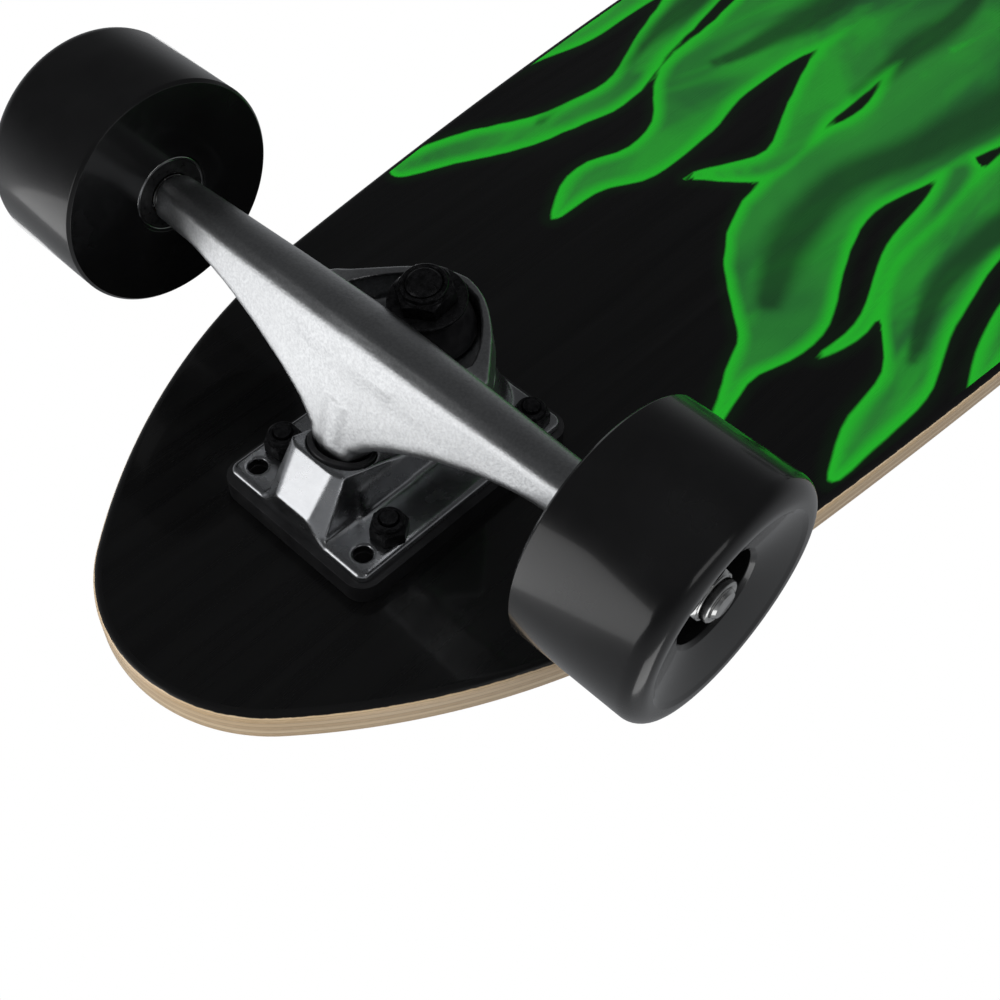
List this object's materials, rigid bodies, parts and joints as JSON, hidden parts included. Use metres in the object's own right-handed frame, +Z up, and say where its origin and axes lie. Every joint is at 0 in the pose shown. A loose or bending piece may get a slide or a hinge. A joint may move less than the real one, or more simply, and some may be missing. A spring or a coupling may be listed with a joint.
{
  "type": "skateboard",
  "caption": "Cruiser skateboard with a flat rounded wooden deck, grip tape, riser pads, kingpin trucks and black wheels on ball bearings.",
  "frame": {"origin": "on the ground under the middle of the board, which stands on its wheels", "axes": "+X along the board to the nose, +Y to the left, +Z up"},
  "size_m": [0.914, 0.2256, 0.0987],
  "materials": {
    "deck_wood": "clear-coated maple edge, gloss black underside with green flames",
    "grip": "black mineral grit",
    "black_steel": "black oxide, slightly oily",
    "riser_rubber": "black, satin",
    "cast_aluminium": "tumbled casting, bright on its ridges",
    "cup_urethane": "black urethane, satin",
    "wheel_urethane": "black urethane, semi-gloss",
    "seal": "black bearing seal, satin",
    "bearing_steel": "ground and polished",
    "cage_nylon": "natural nylon",
    "plated_steel": "zinc plated"
  },
  "bodies": {
    "deck": {"deck": "deck_wood", "grip_tape": "grip", "mounting_screws": "black_steel", "mounting_nuts": "black_steel", "rear_riser": "riser_rubber", "rear_baseplate": "cast_aluminium", "rear_pivot_cup": "cup_urethane", "rear_kingpin": "black_steel", "rear_kingpin_nut": "black_steel", "rear_cup_washers": "black_steel", "rear_board_bushing": "cup_urethane", "rear_road_bushing": "cup_urethane", "front_riser": "riser_rubber", "front_baseplate": "cast_aluminium", "front_pivot_cup": "cup_urethane", "front_kingpin": "black_steel", "front_kingpin_nut": "black_steel", "front_cup_washers": "black_steel", "front_board_bushing": "cup_urethane", "front_road_bushing": "cup_urethane"},
    "rear_truck": {"rear_hanger": "cast_aluminium", "rear_axle": "plated_steel", "rear_axle_nuts": "plated_steel", "rear_speed_washers": "plated_steel", "rear_bearing_inner_rings": "bearing_steel", "rear_bearing_spacers": "bearing_steel"},
    "front_truck": {"front_hanger": "cast_aluminium", "front_axle": "plated_steel", "front_axle_nuts": "plated_steel", "front_speed_washers": "plated_steel", "front_bearing_inner_rings": "bearing_steel", "front_bearing_spacers": "bearing_steel"},
    "rear_left_wheel": {"rear_left_wheel": "wheel_urethane", "rear_left_bearing_outer_rings": "bearing_steel", "rear_left_bearing_shields": "seal"},
    "rear_right_wheel": {"rear_right_wheel": "wheel_urethane", "rear_right_bearing_outer_rings": "bearing_steel", "rear_right_bearing_shields": "seal"},
    "front_left_wheel": {"front_left_wheel": "wheel_urethane", "front_left_bearing_outer_rings": "bearing_steel", "front_left_bearing_shields": "seal"},
    "front_right_wheel": {"front_right_wheel": "wheel_urethane", "front_right_bearing_outer_rings": "bearing_steel", "front_right_bearing_shields": "seal"},
    "rear_left_ball_cages": {"rear_left_balls": "bearing_steel", "rear_left_ball_cages": "cage_nylon"},
    "rear_right_ball_cages": {"rear_right_balls": "bearing_steel", "rear_right_ball_cages": "cage_nylon"},
    "front_left_ball_cages": {"front_left_balls": "bearing_steel", "front_left_ball_cages": "cage_nylon"},
    "front_right_ball_cages": {"front_right_balls": "bearing_steel", "front_right_ball_cages": "cage_nylon"}
  },
  "joints": [
    {"name": "rear_steer", "type": "hinge", "parent": "deck", "child": "rear_truck", "pos_m": [-0.38568, 0, 0.06711], "axis": [0.8757, 0, -0.4828], "range_deg": [-10, 10], "stiffness_Nm_per_rad": 60, "deforming": ["rear_board_bushing", "rear_road_bushing"]},
    {"name": "front_steer", "type": "hinge", "parent": "deck", "child": "front_truck", "pos_m": [0.38568, 0, 0.06711], "axis": [-0.8757, 0, -0.4828], "range_deg": [-10, 10], "stiffness_Nm_per_rad": 60, "deforming": ["front_board_bushing", "front_road_bushing"]},
    {"name": "rear_left_spin", "type": "hinge", "parent": "rear_truck", "child": "rear_left_wheel", "pos_m": [-0.3727, 0.076, 0.0325], "axis": [0, 1, 0], "continuous": true},
    {"name": "rear_right_spin", "type": "hinge", "parent": "rear_truck", "child": "rear_right_wheel", "pos_m": [-0.3727, -0.076, 0.0325], "axis": [0, 1, 0], "continuous": true},
    {"name": "front_left_spin", "type": "hinge", "parent": "front_truck", "child": "front_left_wheel", "pos_m": [0.3727, 0.076, 0.0325], "axis": [0, 1, 0], "continuous": true},
    {"name": "front_right_spin", "type": "hinge", "parent": "front_truck", "child": "front_right_wheel", "pos_m": [0.3727, -0.076, 0.0325], "axis": [0, 1, 0], "continuous": true},
    {"name": "rear_left_cage_roll", "type": "hinge", "parent": "rear_truck", "child": "rear_left_ball_cages", "pos_m": [-0.3727, 0.076, 0.0325], "axis": [0, 1, 0], "continuous": true},
    {"name": "rear_right_cage_roll", "type": "hinge", "parent": "rear_truck", "child": "rear_right_ball_cages", "pos_m": [-0.3727, -0.076, 0.0325], "axis": [0, 1, 0], "continuous": true},
    {"name": "front_left_cage_roll", "type": "hinge", "parent": "front_truck", "child": "front_left_ball_cages", "pos_m": [0.3727, 0.076, 0.0325], "axis": [0, 1, 0], "continuous": true},
    {"name": "front_right_cage_roll", "type": "hinge", "parent": "front_truck", "child": "front_right_ball_cages", "pos_m": [0.3727, -0.076, 0.0325], "axis": [0, 1, 0], "continuous": true}
  ],
  "couplings": [
    {"joint": "rear_left_cage_roll", "follows": "rear_left_spin", "ratio": 0.6323},
    {"joint": "rear_right_cage_roll", "follows": "rear_right_spin", "ratio": 0.6323},
    {"joint": "front_left_cage_roll", "follows": "front_left_spin", "ratio": 0.6323},
    {"joint": "front_right_cage_roll", "follows": "front_right_spin", "ratio": 0.6323}
  ]
}
